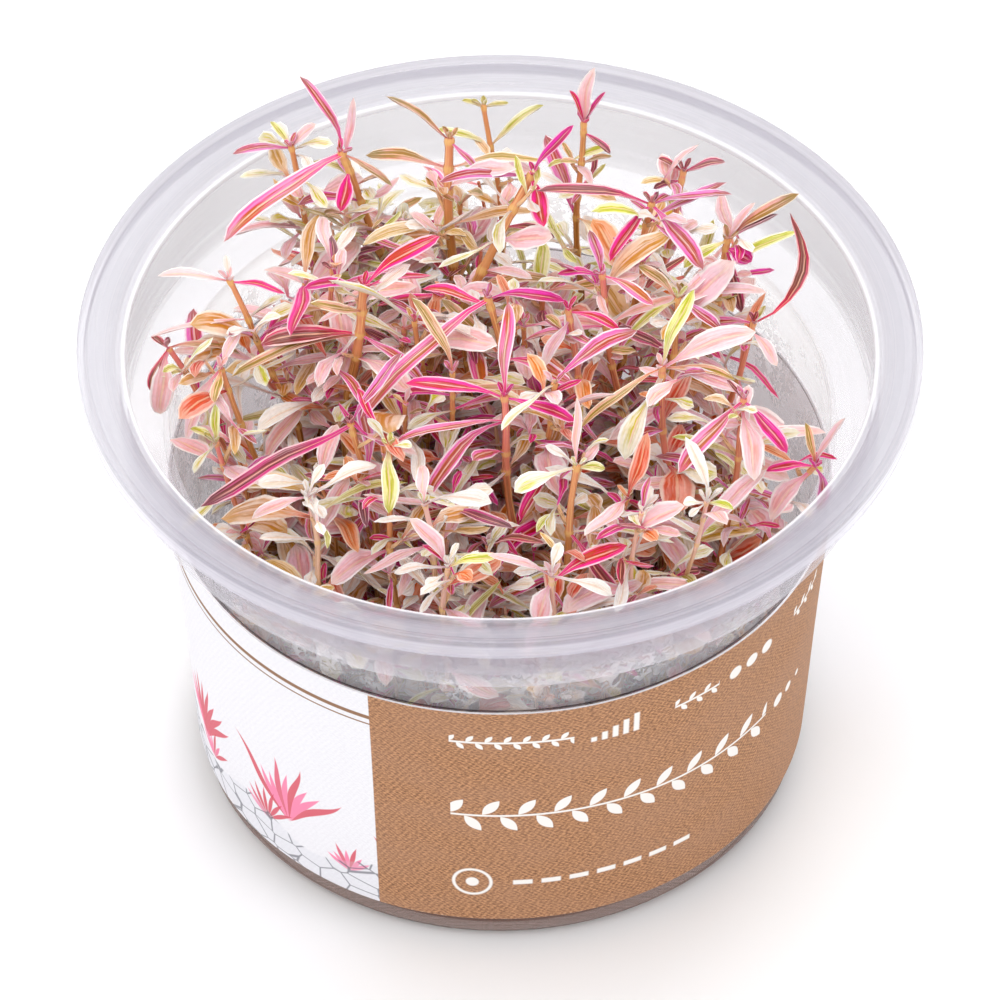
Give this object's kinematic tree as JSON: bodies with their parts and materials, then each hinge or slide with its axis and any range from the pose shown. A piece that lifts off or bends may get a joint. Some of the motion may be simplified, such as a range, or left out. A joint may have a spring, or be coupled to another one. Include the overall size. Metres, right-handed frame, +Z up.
{
  "type": "tissue culture hygrophila lancea chai",
  "caption": "Open milky see-through plastic cup with a plain paper band, holding a jelly bed and a dense clump of pink and cream narrow-leaved aquarium plant shoots.",
  "frame": {"origin": "centre of the cup's foot, on the surface it stands on", "axes": "+Z up along the cup's axis; -Y is the front, where the label's brown and white parts meet left of the middle"},
  "size_m": [0.1, 0.1, 0.082],
  "materials": {
    "cup": "thin milky see-through moulded polypropylene, satin",
    "label": "matt printed paper, brown with a white part",
    "gel": "clear, slightly tan agar jelly",
    "pink_leaf": "soft satin leaf, pink with a brown-olive middle",
    "cream_leaf": "soft satin leaf, cream with a green middle"
  },
  "bodies": {
    "root": {"cup": "cup", "label": "label", "gel": "gel", "shoot_01": "pink_leaf", "shoot_02": "pink_leaf", "shoot_03": "cream_leaf", "shoot_04": "pink_leaf", "shoot_05": "pink_leaf", "shoot_06": "cream_leaf", "shoot_07": "pink_leaf", "shoot_08": "pink_leaf", "shoot_09": "cream_leaf", "shoot_10": "pink_leaf", "shoot_11": "pink_leaf", "shoot_12": "cream_leaf", "shoot_13": "pink_leaf", "shoot_14": "pink_leaf", "shoot_15": "cream_leaf", "shoot_16": "pink_leaf", "shoot_17": "pink_leaf", "shoot_18": "cream_leaf", "shoot_19": "pink_leaf", "shoot_20": "pink_leaf", "shoot_21": "cream_leaf", "shoot_22": "pink_leaf", "shoot_23": "pink_leaf", "shoot_24": "cream_leaf", "shoot_25": "pink_leaf", "shoot_26": "pink_leaf", "shoot_27": "cream_leaf", "shoot_28": "pink_leaf", "shoot_29": "pink_leaf", "shoot_30": "cream_leaf", "shoot_31": "pink_leaf", "shoot_32": "pink_leaf", "shoot_33": "cream_leaf", "shoot_34": "pink_leaf", "shoot_35": "pink_leaf", "shoot_36": "cream_leaf", "shoot_37": "pink_leaf", "shoot_38": "pink_leaf", "shoot_39": "cream_leaf", "shoot_40": "pink_leaf", "shoot_41": "pink_leaf", "shoot_42": "cream_leaf", "shoot_43": "pink_leaf", "shoot_44": "pink_leaf", "shoot_45": "cream_leaf", "shoot_46": "pink_leaf", "shoot_47": "pink_leaf", "shoot_48": "cream_leaf", "shoot_49": "pink_leaf", "shoot_50": "pink_leaf", "shoot_51": "cream_leaf", "shoot_52": "pink_leaf", "shoot_53": "pink_leaf", "shoot_54": "cream_leaf", "shoot_55": "pink_leaf", "shoot_56": "pink_leaf"}
  },
  "joints": []
}
